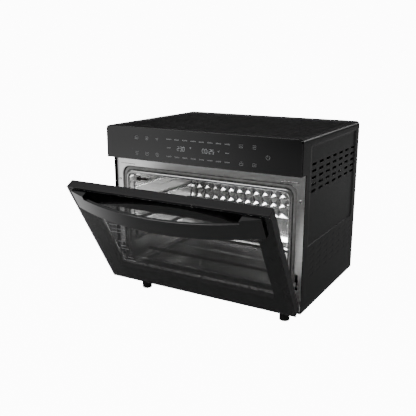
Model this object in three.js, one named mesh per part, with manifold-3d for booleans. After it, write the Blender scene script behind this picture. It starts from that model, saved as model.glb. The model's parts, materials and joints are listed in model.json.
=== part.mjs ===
// Countertop air-fry toaster oven with a drop-down glass door. Millimetres, +Z up, +Y to the back.
// Everything is laid out in working coordinates: x = 0 on the centre line, y = 0 on the face of the
// control panel and z = 0 on the underside of the cabinet. The last lines move the whole oven so that
// its origin is at the middle of its footprint, on the surface that it stands on.
import * as THREE from 'three';
import { mergeVertices } from 'three/addons/utils/BufferGeometryUtils.js';
import Module from 'manifold-3d';

const wasm = await Module();
wasm.setup();

// ---- driving dimensions -------------------------------------------------------------------------
const WIDTH = 480;             // cabinet, outside
const DEPTH = 366;             // control panel face to the back of the cabinet
const HEIGHT = 370;            // cabinet without its feet
const PANEL_HEIGHT = 74;       // control panel band
const STEP_BACK = 24.5;        // cabinet sides below the panel start this far behind its face
const SHEET = 1;               // folded sheet metal
const GAP = 0.3;               // clearance between pieces that touch
const TOP_RADIUS = 9;          // rolled edges along the top
const FOOT_HEIGHT = 24.5;
const FOOT_RADIUS = 11.5;

const HALF = WIDTH / 2;
const PANEL_BOTTOM = HEIGHT - PANEL_HEIGHT;

// front frame and oven cavity
const FRAME_FACE = 31;                                        // y of the steel front frame
const MOUTH = { half: 202, low: 32, high: 255.5, radius: 12 };  // clear opening
const BEAD_WIDTH = 8;          // bright rim around the mouth
const GROOVE_WIDTH = 9.5;      // seal groove outside the rim
const GROOVE_DEPTH = 10;
const CAVITY_BACK = 334;
const FAN_Y = 182;             // fan, ring heater and motor share this centre

// door, drawn closed and then turned open about its pivot
const DOOR_OPEN = THREE.MathUtils.degToRad(30);               // resting angle
const PIVOT = { y: 8, z: 11 };
const DOOR_HALF = HALF - 1;
const DOOR_LOW = 5;
const DOOR_HIGH = PANEL_BOTTOM - 1.5;
const GLASS = 3;
const FRAME_BACK = 15;         // door frame ends and back pan starts
const DOOR_THICK = 22;
const SEAL_FACE = FRAME_FACE - 1.5;  // raised sealing rim on the back of the door
const WINDOW = { half: 199, low: 49, high: 252 };
const TRIM_HEIGHT = 5.5;       // cap strip along the top edge of the door

// bowed handle
const HANDLE = { half: 224, low: 240, high: 280, lugHigh: 288.6, reach: 41.5, radius: 723, thick: 7, lug: 184 };
const HANDLE_SCREW = { x: 211, shank: 2.2, head: 4, tip: -7 };

// hinge arms, one each side, pinned in the door and running through slots in the front frame
const ARM = { x: 225, thick: 3, height: 10, length: 104, y: 10, z: 77, droop: -22 };
const ARM_FOLD = 0.43;         // the arm turns back this much for each degree that the door opens
const ARM_SLOT = { low: 50, high: 84, width: 7 };

// ---- colours ------------------------------------------------------------------------------------
const finish = (color, roughness, metalness) => () =>
  new THREE.MeshStandardMaterial({ color, roughness, metalness });
const blackPaint = finish(0x1b1b1d, 0.55, 0.3);
const glossBlack = finish(0x101012, 0.08, 0);
const satinBlack = finish(0x1c1c1e, 0.4, 0);
const darkRubber = finish(0x161616, 0.85, 0);
const brushedSteel = finish(0xb4b4b2, 0.32, 1);
const brightSteel = finish(0xc8c8c6, 0.22, 1);
const heaterSheath = finish(0x4a4b4c, 0.5, 0.8);
const clearGlass = finish(0x2b2e30, 0.05, 0);
const greenBoard = finish(0x1d5a38, 0.5, 0);
const ceramic = finish(0xe6e2d8, 0.7, 0);
const aluminium = finish(0xa8aaac, 0.35, 1);

// ---- shape helpers ------------------------------------------------------------------------------
const X_AXIS = new THREE.Vector3(1, 0, 0);
const Y_AXIS = new THREE.Vector3(0, 1, 0);
const Z_AXIS = new THREE.Vector3(0, 0, 1);

function slab([x0, x1], [y0, y1], [z0, z1]) {
  const box = new THREE.BoxGeometry(x1 - x0, y1 - y0, z1 - z0);
  return box.translate((x0 + x1) / 2, (y0 + y1) / 2, (z0 + z1) / 2);
}

// A flat outline drawn in XY, XZ or YZ and thickened along the third axis.
function extrude(shape, depth, segments) {
  return new THREE.ExtrudeGeometry(shape, { depth, bevelEnabled: false, curveSegments: segments });
}
const upright = (shape, z0, z1, segments = 4) => extrude(shape, z1 - z0, segments).translate(0, 0, z0);
function facing(shape, y0, y1, segments = 4) {
  const turn = new THREE.Matrix4().makeBasis(X_AXIS, Z_AXIS, Y_AXIS.clone().negate());
  return extrude(shape, y1 - y0, segments).applyMatrix4(turn).translate(0, y1, 0);
}
function sideways(shape, x0, x1, segments = 4) {
  const turn = new THREE.Matrix4().makeBasis(Y_AXIS, Z_AXIS, X_AXIS);
  return extrude(shape, x1 - x0, segments).applyMatrix4(turn).translate(x0, 0, 0);
}

function outline(points) {
  return new THREE.Shape(points.map(([a, b]) => new THREE.Vector2(a, b)));
}

// A rectangle with rounded corners, as a Shape or as a hole in one.
function rounded([a0, a1], [b0, b1], r, path = new THREE.Shape()) {
  path.moveTo(a0 + r, b0);
  path.lineTo(a1 - r, b0);
  path.absarc(a1 - r, b0 + r, r, -Math.PI / 2, 0);
  path.lineTo(a1, b1 - r);
  path.absarc(a1 - r, b1 - r, r, 0, Math.PI / 2);
  path.lineTo(a0 + r, b1);
  path.absarc(a0 + r, b1 - r, r, Math.PI / 2, Math.PI);
  path.lineTo(a0, b0 + r);
  path.absarc(a0 + r, b0 + r, r, Math.PI, Math.PI * 1.5);
  return path;
}
function roundedRing(outer, inner) {
  const ring = rounded(...outer);
  ring.holes.push(rounded(...inner, new THREE.Path()));
  return ring;
}

// The mouth of the cavity grown by `grow` on every side.
function mouth(grow) {
  return [[-MOUTH.half - grow, MOUTH.half + grow], [MOUTH.low - grow, MOUTH.high + grow],
    MOUTH.radius + grow * 0.45];
}
const mouthRing = (grow, inset, y0, y1) => facing(roundedRing(mouth(grow), mouth(inset)), y0, y1);

function cylinder(radius, length, axis, [x, y, z], sides = 16) {
  const rod = new THREE.CylinderGeometry(radius, radius, length, sides);
  if (axis === 'x') rod.rotateZ(-Math.PI / 2);
  if (axis === 'z') rod.rotateX(Math.PI / 2);
  return rod.translate(x, y, z);
}

// A turned piece about the Z axis: profile points are [radius, z].
function turned(profile, [x, y, z], sides = 20) {
  const points = profile.map(([r, h]) => new THREE.Vector2(r, h));
  return new THREE.LatheGeometry(points, sides).rotateX(Math.PI / 2).translate(x, y, z);
}
function tubeRing(inner, outer, z0, z1, at, sides = 20) {
  return turned([[inner, z0], [outer, z0], [outer, z1], [inner, z1], [inner, z0]], at, sides);
}

function toSolid(geometry) {
  const bare = geometry.clone();
  bare.deleteAttribute('normal');
  bare.deleteAttribute('uv');
  const merged = mergeVertices(bare, 1e-4);
  const mesh = new wasm.Mesh({
    numProp: 3,
    vertProperties: new Float32Array(merged.attributes.position.array),
    triVerts: new Uint32Array(merged.index.array),
  });
  return new wasm.Manifold(mesh);
}
function toGeometry(solid) {
  const mesh = solid.getMesh();
  const geometry = new THREE.BufferGeometry();
  geometry.setAttribute('position', new THREE.BufferAttribute(mesh.vertProperties, 3));
  geometry.setIndex(new THREE.BufferAttribute(mesh.triVerts, 1));
  geometry.computeVertexNormals();
  return geometry;
}
const cut = (body, tools) =>
  toGeometry(tools.reduce((solid, tool) => solid.subtract(toSolid(tool)), toSolid(body)));
const join = (pieces) =>
  toGeometry(pieces.slice(1).reduce((solid, piece) => solid.add(toSolid(piece)), toSolid(pieces[0])));

const oven = new THREE.Group();
const door = new THREE.Group();
function part(name, geometry, material, parent = oven) {
  const mesh = new THREE.Mesh(geometry, material());
  mesh.name = name;
  parent.add(mesh);
  return mesh;
}
const SIDES = [['left', -1], ['right', 1]];
const across = (side, near, far) => (side < 0 ? [-far, -near] : [near, far]);

// ---- cabinet ------------------------------------------------------------------------------------
const VENT = { columns: 7, rows: 5, y: 74.5, z: 311.5, pitchY: 41.8, pitchZ: -14, length: 24, height: 5 };

function wrapOutline(inset) {
  const r = TOP_RADIUS - inset;
  const x = HALF - inset;
  const top = HEIGHT - inset;
  return { r, x, top };
}
// The outline that fits inside the wrap, from height `low` up.
function hoodShape(inset, low) {
  const { r, x, top } = wrapOutline(inset);
  const shape = new THREE.Shape();
  shape.moveTo(-x, low);
  shape.lineTo(x, low);
  shape.lineTo(x, top - r);
  shape.absarc(x - r, top - r, r, 0, Math.PI / 2);
  shape.absarc(-x + r, top - r, r, Math.PI / 2, Math.PI);
  shape.closePath();
  return shape;
}
function wrapShape() {
  const outside = wrapOutline(0);
  const inside = wrapOutline(SHEET);
  const shape = new THREE.Shape();
  shape.moveTo(outside.x, 0);
  shape.lineTo(outside.x, outside.top - outside.r);
  shape.absarc(outside.x - outside.r, outside.top - outside.r, outside.r, 0, Math.PI / 2);
  shape.absarc(-outside.x + outside.r, outside.top - outside.r, outside.r, Math.PI / 2, Math.PI);
  shape.lineTo(-outside.x, 0);
  shape.lineTo(-inside.x, 0);
  shape.lineTo(-inside.x, inside.top - inside.r);
  shape.absarc(-inside.x + inside.r, inside.top - inside.r, inside.r, Math.PI, Math.PI / 2, true);
  shape.absarc(inside.x - inside.r, inside.top - inside.r, inside.r, Math.PI / 2, 0, true);
  shape.lineTo(inside.x, 0);
  shape.closePath();
  return shape;
}
// A long slot with pointed ends.
function ventSlot(y, z) {
  const tip = VENT.length / 2;
  const shoulder = tip - VENT.height / 2;
  const rise = VENT.height / 2;
  return outline([[y - tip, z], [y - shoulder, z - rise], [y + shoulder, z - rise],
    [y + tip, z], [y + shoulder, z + rise], [y - shoulder, z + rise]]);
}
function sideVents() {
  const tools = [];
  for (let column = 0; column < VENT.columns; column += 1) {
    for (let row = 0; row < VENT.rows; row += 1) {
      const y = VENT.y + column * VENT.pitchY;
      const z = VENT.z + row * VENT.pitchZ;
      tools.push(sideways(ventSlot(y, z), -HALF - 5, HALF + 5));
    }
  }
  return tools;
}
function cabinet() {
  const belowPanel = slab([-HALF - 5, HALF + 5], [-5, STEP_BACK], [-5, PANEL_BOTTOM]);
  const wrap = cut(facing(wrapShape(), GLASS - 0.2, DEPTH), [belowPanel, ...sideVents()]);
  part('cabinet_wrap', wrap, blackPaint);

  const inner = HALF - SHEET - GAP;
  const backVents = [-96, -48, 0, 48, 96].flatMap((x) => [278, 292, 306, 320].map((z) =>
    slab([x - 16, x + 16], [DEPTH - 6, DEPTH + 2], [z - 2, z + 2])));
  const inletHole = cylinder(10.4, 12, 'y', [170, DEPTH - 1.5, 60], 20);
  part('back_cover', cut(facing(hoodShape(SHEET + GAP, GAP), DEPTH - 2.5, DEPTH - 1.3),
    [...backVents, inletHole]), blackPaint);

  part('cord_gland', join([
    cylinder(10, 9, 'y', [170, DEPTH - 1.5, 60], 20),
    cylinder(14, 4, 'y', [170, DEPTH + 1, 60], 20),
  ]), satinBlack);

  const footHoles = FEET.map(([, x, y]) => cylinder(FOOT_STEM + GAP, 6, 'z', [x, y, 1], 12));
  part('base_plate', cut(slab([-inner, inner], [STEP_BACK, DEPTH - 2.8], [0, SHEET]), footHoles), blackPaint);
}
const FOOT_STEM = 3;
const FEET = [
  ['front_left', -162, 36], ['front_right', 200, 36], ['rear_left', -162, 336], ['rear_right', 200, 336],
];
function feet() {
  const sole = FOOT_RADIUS - 1.5;
  for (const [place, x, y] of FEET) {
    part(`foot_${place}`, turned([[0, -FOOT_HEIGHT], [sole, -FOOT_HEIGHT], [FOOT_RADIUS, -FOOT_HEIGHT + 1.5],
      [FOOT_RADIUS, -GAP], [FOOT_STEM, -GAP], [FOOT_STEM, 5], [0, 5]], [x, y, 0], 16), darkRubber);
  }
}

// ---- front frame, cavity and its fittings -------------------------------------------------------
const HEATER = { z: 50, radius: 4, front: 105, rear: 251, half: 219 };
const LAMP = { y: 270, z: 202.5, radius: 16 };
const PROBE = { y: 66, z: 236, radius: 3 };
const EAR = { x: 230, thick: 3, radius: 4.4 };
const PIN_RADIUS = 2;

function frontFrame() {
  const outer = [[-HALF + SHEET + GAP, HALF - SHEET - GAP], [SHEET + GAP, PANEL_BOTTOM + 8], 2];
  const plate = facing(roundedRing(outer, mouth(BEAD_WIDTH + GROOVE_WIDTH)), FRAME_FACE, FRAME_FACE + 1.2);
  const skirt = mouthRing(BEAD_WIDTH + GROOVE_WIDTH + 1, BEAD_WIDTH + GROOVE_WIDTH,
    FRAME_FACE, FRAME_FACE + GROOVE_DEPTH);
  const pieces = [plate, skirt];
  const tools = [];
  for (const [, side] of SIDES) {
    const [x0, x1] = across(side, EAR.x, EAR.x + EAR.thick);
    const ear = outline([[PIVOT.y, PIVOT.z - EAR.radius], [FRAME_FACE + 1, PIVOT.z - EAR.radius],
      [FRAME_FACE + 1, PIVOT.z + EAR.radius], [PIVOT.y, PIVOT.z + EAR.radius]]);
    pieces.push(sideways(ear, x0, x1));
    pieces.push(cylinder(EAR.radius, EAR.thick, 'x', [(x0 + x1) / 2, PIVOT.y, PIVOT.z], 20));
    tools.push(cylinder(PIN_RADIUS + GAP, 20, 'x', [(x0 + x1) / 2, PIVOT.y, PIVOT.z], 16));
    const centre = side * ARM.x;
    tools.push(slab([centre - ARM_SLOT.width / 2, centre + ARM_SLOT.width / 2],
      [FRAME_FACE - 2, FRAME_FACE + 3], [ARM_SLOT.low, ARM_SLOT.high]));
  }
  part('front_frame', cut(join(pieces), tools), brushedSteel);
}

function cavity() {
  const tube = mouthRing(SHEET, 0, FRAME_FACE, CAVITY_BACK);
  const rim = mouthRing(BEAD_WIDTH, 0, FRAME_FACE, FRAME_FACE + 1.2);
  const rimWall = mouthRing(BEAD_WIDTH, BEAD_WIDTH - 1, FRAME_FACE, FRAME_FACE + GROOVE_DEPTH);
  const flange = mouthRing(BEAD_WIDTH + GROOVE_WIDTH - GAP, BEAD_WIDTH - 1,
    FRAME_FACE + GROOVE_DEPTH - 1.2, FRAME_FACE + GROOVE_DEPTH);
  const fanHole = cylinder(104, 20, 'z', [0, FAN_Y, MOUTH.high], 32);
  const heaterHoles = [HEATER.front, HEATER.rear].map((y) =>
    cylinder(HEATER.radius + 1.2, WIDTH, 'x', [0, y, HEATER.z], 12));
  const lampHole = cylinder(LAMP.radius - 3, 20, 'x', [MOUTH.half, LAMP.y, LAMP.z], 20);
  const probeHole = cylinder(PROBE.radius + GAP, 20, 'x', [-MOUTH.half, PROBE.y, PROBE.z], 12);
  part('cavity_liner', cut(join([tube, rim, rimWall, flange]),
    [fanHole, ...heaterHoles, lampHole, probeHole]), brushedSteel);

  part('cavity_gasket', mouthRing(BEAD_WIDTH + GROOVE_WIDTH - 0.5, BEAD_WIDTH + 0.4,
    FRAME_FACE + 2, FRAME_FACE + 8.4), darkRubber);
}

const STUD = { pitch: 25.2, rows: 5, columns: 16, low: 110, height: 9 };
function cavityBack() {
  const face = CAVITY_BACK + GAP;
  const plate = slab([-MOUTH.half - 10, MOUTH.half + 10], [face, face + 1.2],
    [MOUTH.low - 8, MOUTH.high + 8]);
  const studs = [];
  for (let column = 0; column < STUD.columns; column += 1) {
    for (let row = 0; row < STUD.rows; row += 1) {
      const x = (column - (STUD.columns - 1) / 2) * STUD.pitch;
      const z = STUD.low + (row + 0.5) * STUD.pitch;
      const height = STUD.height + 0.5;
      const stud = new THREE.ConeGeometry(STUD.pitch * Math.SQRT1_2 - 0.1, height, 4, 1);
      stud.rotateY(Math.PI / 4).rotateX(Math.PI);
      studs.push(stud.translate(x, face + 0.5 - height / 2, z));
    }
  }
  part('cavity_back', join([plate, ...studs]), brushedSteel);
}

const RUNNER = { levels: [95, 138, 181, 224], depth: 9, y0: 46, y1: 314, posts: [48, 302], post: 9 };
function shelfGuides() {
  for (const [name, side] of SIDES) {
    const wall = MOUTH.half - GAP;
    const runners = RUNNER.levels.map((z) =>
      slab(across(side, wall - RUNNER.depth, wall - 0.5), [RUNNER.y0, RUNNER.y1], [z - 1, z + 1]));
    const posts = RUNNER.posts.map((y) => slab(across(side, wall - 1.8, wall),
      [y, y + RUNNER.post], [RUNNER.levels[0] - 8, RUNNER.levels[3] + 6]));
    part(`shelf_guide_${name}`, join([...posts, ...runners]), brushedSteel);
  }
}

function heaters() {
  for (const [name, y] of [['front', HEATER.front], ['rear', HEATER.rear]]) {
    part(`lower_heater_${name}`, cylinder(HEATER.radius, 2 * HEATER.half, 'x', [0, y, HEATER.z], 12),
      heaterSheath);
    for (const [place, side] of SIDES) {
      const bush = tubeRing(HEATER.radius + GAP, 9, 0, 11, [0, 0, 0], 16).rotateY(Math.PI / 2);
      const x = side < 0 ? -MOUTH.half - SHEET - GAP - 11 : MOUTH.half + SHEET + GAP;
      part(`heater_bush_${name}_${place}`, bush.translate(x, y, HEATER.z), ceramic);
    }
  }
}

const TRAY = { half: 188, front: 46, back: 322, lip: 12, ridge: 205 };
function crumbTray() {
  const z = MOUTH.low + 0.5;
  const t = 1;
  const profile = outline([
    [TRAY.front, z + TRAY.lip], [TRAY.front + 1.5, z + TRAY.lip + 1], [TRAY.front + 5, z + TRAY.lip - 1],
    [TRAY.front + 9, z + 4], [TRAY.front + 14, z + t],
    [TRAY.ridge - 6, z + t], [TRAY.ridge - 2, z + t + 3], [TRAY.ridge + 2, z + t + 3], [TRAY.ridge + 6, z + t],
    [TRAY.back, z + t], [TRAY.back, z],
    [TRAY.ridge + 6, z], [TRAY.ridge + 2, z + 2], [TRAY.ridge - 2, z + 2], [TRAY.ridge - 6, z],
    [TRAY.front + 13, z], [TRAY.front + 7, z + 3], [TRAY.front + 4, z + TRAY.lip - 2.5],
  ].reverse());
  const edges = SIDES.map(([, side]) =>
    slab(across(side, TRAY.half - t, TRAY.half), [TRAY.front + 12, TRAY.back], [z, z + 6]));
  part('crumb_tray', join([sideways(profile, -TRAY.half, TRAY.half), ...edges]), brightSteel);
}

// ---- top fan, ring heater and motor -------------------------------------------------------------
const POT = { radius: 112, high: 292 };
function fanUnit() {
  const roof = MOUTH.high + SHEET + GAP;
  const at = [0, FAN_Y, 0];
  const pot = turned([
    [122, roof], [122, roof + 1], [POT.radius, roof + 1], [POT.radius - 4, POT.high],
    [8, POT.high], [8, POT.high - 1], [POT.radius - 5, POT.high - 1], [POT.radius - 1, roof],
    [122, roof],
  ], at, 32);
  const leadAt = [-9, 9].map((x) => [x, FAN_Y - 87.5]);
  part('fan_housing', cut(pot, leadAt.map(([x, y]) => cylinder(4, 20, 'z', [x, y, POT.high], 12))),
    brushedSteel);

  const guardHoles = [];
  for (const [ring, count] of [[32, 8], [62, 12], [90, 16]]) {
    for (let step = 0; step < count; step += 1) {
      const angle = (step * 2 * Math.PI) / count;
      guardHoles.push(cylinder(8, 8, 'z',
        [ring * Math.cos(angle), FAN_Y + ring * Math.sin(angle), MOUTH.high - 1.5], 6));
    }
  }
  part('fan_guard', cut(cylinder(108, 1, 'z', [0, FAN_Y, MOUTH.high - 1], 32), guardHoles), brushedSteel);

  const coil = new THREE.TorusGeometry(88, 3.3, 6, 30).translate(0, FAN_Y, 268);
  const leads = leadAt.map(([x, y]) => cylinder(3.3, 36, 'z', [x, y, 286], 8));
  part('ring_heater', join([coil, ...leads]), heaterSheath);

  const blades = [];
  for (let step = 0; step < 8; step += 1) {
    const blade = slab([18, 68], [-0.8, 0.8], [266, 283]);
    blades.push(blade.rotateZ((step * Math.PI) / 4).translate(0, FAN_Y, 0));
  }
  const disc = cylinder(70, 1.2, 'z', [0, FAN_Y, 283], 32);
  const hub = cylinder(11, 16, 'z', [0, FAN_Y, 276], 20);
  const boss = join([disc, hub, ...blades]);
  const bore = cylinder(3.3, 60, 'z', [0, FAN_Y, 276], 16);
  part('convection_fan', cut(boss, [bore]), aluminium);
  part('fan_shaft', cylinder(3, 86, 'z', [0, FAN_Y, 308], 12), brightSteel);

  const motor = tubeRing(3.6, 31, 299, 331, at, 24);
  part('fan_motor', motor, brushedSteel);
  const legs = [-1, 1].map((side) => slab(across(side, 34, 46), [FAN_Y - 8, FAN_Y + 8],
    [POT.high + 0.4, POT.high + 1.6]));
  const posts = [-1, 1].map((side) => slab(across(side, 34, 35.4), [FAN_Y - 8, FAN_Y + 8],
    [POT.high + 0.4, 298.6]));
  const saddle = cut(slab([-35.4, 35.4], [FAN_Y - 8, FAN_Y + 8], [297.4, 298.6]),
    [cylinder(6, 10, 'z', [0, FAN_Y, 298], 16)]);
  part('motor_bracket', join([saddle, ...legs, ...posts]), brushedSteel);

  const vanes = [];
  for (let step = 0; step < 6; step += 1) {
    const vane = slab([8, 40], [-0.7, 0.7], [334.5, 346]);
    vanes.push(vane.rotateZ((step * Math.PI) / 3).translate(0, FAN_Y, 0));
  }
  const wheel = join([cylinder(9, 11.5, 'z', [0, FAN_Y, 340.25], 16), ...vanes]);
  part('cooling_fan', cut(wheel, [cylinder(3.3, 40, 'z', [0, FAN_Y, 340], 16)]), satinBlack);
}

// ---- lamp, sensor, supports and electronics -----------------------------------------------------
function fittings() {
  const lens = turned([[0, -2.5], [LAMP.radius, -2.5], [LAMP.radius - 1, 0], [0, 0]], [0, 0, 0], 20);
  part('lamp_lens', lens.rotateY(Math.PI / 2).translate(MOUTH.half - GAP, LAMP.y, LAMP.z), clearGlass);
  const holder = turned([[0, 0], [20, 0], [20, 2], [13, 3], [13, 18], [0, 18]], [0, 0, 0], 20);
  part('lamp_holder', holder.rotateY(Math.PI / 2).translate(MOUTH.half + SHEET + GAP, LAMP.y, LAMP.z),
    ceramic);

  part('temperature_probe', join([
    cylinder(PROBE.radius, 40, 'x', [-MOUTH.half + 8, PROBE.y, PROBE.z], 12),
    cylinder(6, 4, 'x', [-MOUTH.half + 2.6, PROBE.y, PROBE.z], 6),
  ]), heaterSheath);

  for (const [name, side] of SIDES) {
    const rail = outline([[60, SHEET + GAP], [320, SHEET + GAP], [320, MOUTH.low - SHEET - GAP],
      [60, MOUTH.low - SHEET - GAP]]);
    part(`cavity_rail_${name}`, cut(sideways(rail, ...across(side, 150, 168)),
      [slab(across(side, 151.5, 166.5), [40, 340], [2.8, 28.2])]), brushedSteel);
  }

  const board = slab([-222, -136], [188, 326], [268, 269.6]);
  const relays = [[-210, 204], [-210, 244], [-186, 290]].map(([x, y]) =>
    slab([x, x + 22], [y, y + 28], [269.2, 288]));
  part('power_board', join([board, ...relays]), greenBoard);
  part('board_tray', join([
    slab([-226, -132], [184, 330], [261.5, 262.5]),
    ...[[-218, 194], [-140, 194], [-218, 320], [-140, 320]].map(([x, y]) =>
      cylinder(3, 5.4, 'z', [x, y, 265], 10)),
  ]), brushedSteel);
}

// ---- control panel ------------------------------------------------------------------------------
function controlPanel() {
  part('panel_glass', facing(hoodShape(0.4, PANEL_BOTTOM), 0, GLASS - 0.5), glossBlack);
  const inset = SHEET + GAP;
  const hollow = slab([-HALF + 6, HALF - 6], [6, 40], [PANEL_BOTTOM + 4, HEIGHT - 6]);
  part('panel_housing', cut(facing(hoodShape(inset, PANEL_BOTTOM), GLASS, STEP_BACK + 5.5), [hollow]),
    satinBlack);
  part('display_module', slab([-75, 85], [6.4, 10], [304, 356]), satinBlack);
  const board = slab([-205, 205], [13, 14.6], [303, 361]);
  const parts = [[-150, 18], [-60, 30], [40, 22], [130, 14]].map(([x, width]) =>
    slab([x, x + width], [14.2, 22], [318, 344]));
  part('control_board', join([board, ...parts]), greenBoard);
}

// ---- door, drawn closed -------------------------------------------------------------------------
function doorPanels() {
  const armSlot = (y0, y1, low, high) => SIDES.map(([, side]) =>
    slab([side * ARM.x - 2.6, side * ARM.x + 2.6], [y0, y1], [low, high]));
  const trimLow = DOOR_HIGH - TRIM_HEIGHT;

  const screwBores = SIDES.map(([, side]) => screwRod(side, HANDLE_SCREW.shank + GAP, -1, FRAME_BACK + 1));
  const counterbores = SIDES.map(([, side]) =>
    screwRod(side, HANDLE_SCREW.head + GAP, FRAME_BACK - 4, FRAME_BACK + 1));

  part('door_glass', cut(slab([-DOOR_HALF, DOOR_HALF], [0, GLASS], [DOOR_LOW, trimLow - GAP]), screwBores),
    clearGlass, door);

  const rail = (inset, low, high) => [[-DOOR_HALF + inset, DOOR_HALF - inset],
    [DOOR_LOW + low, high], 2];
  const pane = [[-WINDOW.half, WINDOW.half], [WINDOW.low, WINDOW.high], 4];
  const frame = facing(roundedRing(rail(0.5, 0.5, trimLow - GAP), pane), GLASS + GAP, FRAME_BACK, 3);
  const earNotches = SIDES.map(([, side]) => slab(across(side, EAR.x - 0.8, EAR.x + EAR.thick + 0.8),
    [GLASS, 40], [DOOR_LOW - 2, PIVOT.z + EAR.radius + 0.8]));
  const pivotBores = SIDES.map(([, side]) =>
    cylinder(PIN_RADIUS + GAP, 16, 'x', [side * 231, PIVOT.y, PIVOT.z], 16));
  const armBores = SIDES.map(([, side]) =>
    cylinder(2.5 + GAP, 18, 'x', [side * ARM.x, ARM.y, ARM.z], 16));
  part('door_frame', cut(frame, [...earNotches, ...pivotBores, ...armBores, ...screwBores,
    ...counterbores, ...armSlot(GLASS - 1, 30, 50, 88)]), satinBlack, door);

  // the back pan is folded from sheet: a face, skirts round both edges and a raised sealing rim
  const fold = 1.2;
  const outerEdge = (inset) => rail(0.5 + inset, 0.5 + inset, trimLow - GAP - inset);
  const paneEdge = (grow) => [[-WINDOW.half - grow, WINDOW.half + grow],
    [WINDOW.low - grow, WINDOW.high + grow], 4];
  const rimOuter = BEAD_WIDTH + GROOVE_WIDTH - 1;
  const rimInner = BEAD_WIDTH - 1;
  const face = cut(facing(roundedRing(outerEdge(0), pane), DOOR_THICK - fold, DOOR_THICK),
    [mouthRing(rimOuter - fold, rimInner + fold, DOOR_THICK - 5, DOOR_THICK + 5)]);
  const pan = join([
    face,
    facing(roundedRing(outerEdge(0), outerEdge(fold)), FRAME_BACK + GAP, DOOR_THICK),
    facing(roundedRing(paneEdge(fold), pane), FRAME_BACK + GAP, DOOR_THICK),
    mouthRing(rimOuter, rimOuter - fold, DOOR_THICK - fold, SEAL_FACE),
    mouthRing(rimInner + fold, rimInner, DOOR_THICK - fold, SEAL_FACE),
    mouthRing(rimOuter, rimInner, SEAL_FACE - fold, SEAL_FACE),
  ]);
  part('door_back_pan', cut(pan, [...earNotches, ...armSlot(10, 40, 46, 88)]), brushedSteel, door);

  part('door_inner_glass', slab([-WINDOW.half - 6, WINDOW.half + 6], [DOOR_THICK + GAP, DOOR_THICK + 3.3],
    [WINDOW.low - 10, WINDOW.high - 4]), clearGlass, door);

  const cap = [[-DOOR_HALF, DOOR_HALF], [trimLow, DOOR_HIGH], 1];
  part('door_top_trim', facing(rounded(...cap), 0, DOOR_THICK, 2), satinBlack, door);
}

// Plan of the handle: a bowed bar whose two ends widen into lugs that meet the door.
function handleShape() {
  const { half, reach, radius, thick, lug } = HANDLE;
  const centre = radius - reach;
  const bow = (r, x) => centre - Math.sqrt(r * r - x * x);
  const steps = 16;
  const arc = (r, from, to) => Array.from({ length: steps + 1 }, (_, i) => {
    const x = from + ((to - from) * i) / steps;
    return [x, bow(r, x)];
  });
  return outline([...arc(radius, -half, half), [half, -GAP], [lug, -GAP],
    ...arc(radius - thick, lug - 4, -lug + 4), [-lug, -GAP], [-half, -GAP]]);
}
function screwRod(side, radius, y0, y1) {
  const z = (HANDLE.low + HANDLE.high) / 2;
  return cylinder(radius, y1 - y0, 'y', [side * HANDLE_SCREW.x, (y0 + y1) / 2, z], 12);
}
function handle() {
  const { shank, head, tip } = HANDLE_SCREW;
  const taps = SIDES.map(([, side]) => screwRod(side, shank + GAP, tip - 1, 1));
  // the lugs rise to the top trim; between them the bar is lower
  const aboveBar = slab([-HANDLE.lug, HANDLE.lug], [-HANDLE.reach - 1, 1], [HANDLE.high, HANDLE.lugHigh + 1]);
  part('handle', cut(upright(handleShape(), HANDLE.low, HANDLE.lugHigh), [...taps, aboveBar]), satinBlack, door);
  for (const [name, side] of SIDES) {
    part(`handle_screw_${name}`, join([screwRod(side, shank, tip, FRAME_BACK - 2),
      screwRod(side, head, FRAME_BACK - 3.7, FRAME_BACK - GAP)]), brightSteel, door);
  }
}

// ---- hinges -------------------------------------------------------------------------------------
const ROLLER = { y: 44, z: 52, radius: 5 };
function hinges() {
  for (const [name, side] of SIDES) {
    const pinX = side * 230.5;
    part(`pivot_pin_${name}`, cylinder(PIN_RADIUS, 13, 'x', [pinX, PIVOT.y, PIVOT.z], 16),
      brightSteel, door);
    part(`arm_pin_${name}`, cylinder(2.5, 16, 'x', [side * ARM.x, ARM.y, ARM.z], 16), brightSteel, door);

    // the arm, drawn level from its eye and then laid at its angle beside the open door
    const x0 = side * ARM.x - ARM.thick / 2;
    const bar = outline([[0, -ARM.height / 2], [ARM.length - 4, -ARM.height / 2],
      [ARM.length, -ARM.height / 2 + 4], [ARM.length, ARM.height / 2], [0, ARM.height / 2]]);
    const arm = cut(join([
      sideways(bar, x0, x0 + ARM.thick),
      cylinder(6, ARM.thick, 'x', [side * ARM.x, 0, 0], 20),
    ]), [cylinder(2.5 + GAP, 10, 'x', [side * ARM.x, 0, 0], 16)]);
    const lean = THREE.MathUtils.degToRad(ARM.droop) - ARM_FOLD * DOOR_OPEN;
    part(`hinge_arm_${name}`, arm.rotateX(lean).translate(0, ARM.y, ARM.z), brightSteel, door);

    const cheek = side * (ARM.x + 5);
    const bracket = join([
      slab([Math.min(cheek, cheek + side * 1.5), Math.max(cheek, cheek + side * 1.5)],
        [FRAME_FACE + 1.6, 62], [40, 92]),
      slab(across(side, ARM.x + 5, ARM.x + 12), [FRAME_FACE + 1.6, FRAME_FACE + 3], [40, 92]),
    ]);
    part(`hinge_bracket_${name}`, cut(bracket,
      [cylinder(2 + GAP, 10, 'x', [cheek, ROLLER.y, ROLLER.z], 12)]), brushedSteel);
    part(`hinge_roller_${name}`, join([
      cylinder(ROLLER.radius, 4, 'x', [side * ARM.x, ROLLER.y, ROLLER.z], 20),
      cylinder(2, 12, 'x', [side * (ARM.x + 3.5), ROLLER.y, ROLLER.z], 12),
    ]), brightSteel);
  }
}

// ---- assembly -----------------------------------------------------------------------------------
cabinet();
feet();
frontFrame();
cavity();
cavityBack();
shelfGuides();
heaters();
crumbTray();
fanUnit();
fittings();
controlPanel();
doorPanels();
handle();
hinges();

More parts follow.
